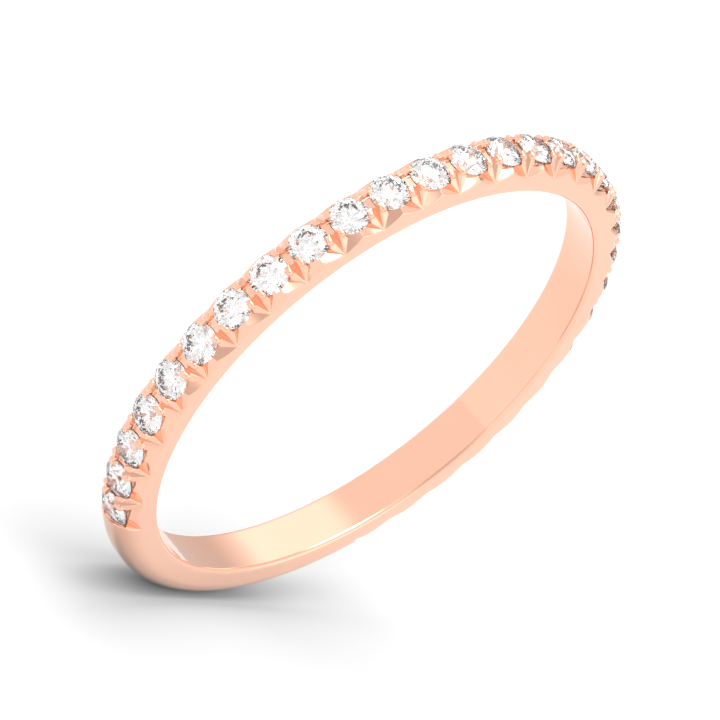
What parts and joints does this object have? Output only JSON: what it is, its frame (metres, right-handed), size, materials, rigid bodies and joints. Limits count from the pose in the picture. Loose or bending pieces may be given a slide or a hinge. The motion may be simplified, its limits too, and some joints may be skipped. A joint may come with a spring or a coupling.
{
  "type": "diamond wedding band",
  "caption": "Slim polished rose gold band, its top three quarters set with a row of round brilliants held by fishtail prongs.",
  "frame": {"origin": "centre of the finger bore, midway between the side faces", "axes": "+Y along the bore axis, +Z from the centre towards the middle of the stone row, +X completes the right-handed frame"},
  "size_m": [0.02, 0.0018, 0.02],
  "materials": {
    "rose_gold": "polished",
    "diamond": "polished"
  },
  "bodies": {
    "root": {"band": "rose_gold", "diamond_01": "diamond", "diamond_02": "diamond", "diamond_03": "diamond", "diamond_04": "diamond", "diamond_05": "diamond", "diamond_06": "diamond", "diamond_07": "diamond", "diamond_08": "diamond", "diamond_09": "diamond", "diamond_10": "diamond", "diamond_11": "diamond", "diamond_12": "diamond", "diamond_13": "diamond", "diamond_14": "diamond", "diamond_15": "diamond", "diamond_16": "diamond", "diamond_17": "diamond", "diamond_18": "diamond", "diamond_19": "diamond", "diamond_20": "diamond", "diamond_21": "diamond", "diamond_22": "diamond", "diamond_23": "diamond", "diamond_24": "diamond", "diamond_25": "diamond", "diamond_26": "diamond", "diamond_27": "diamond", "diamond_28": "diamond", "diamond_29": "diamond", "diamond_30": "diamond"}
  },
  "joints": []
}
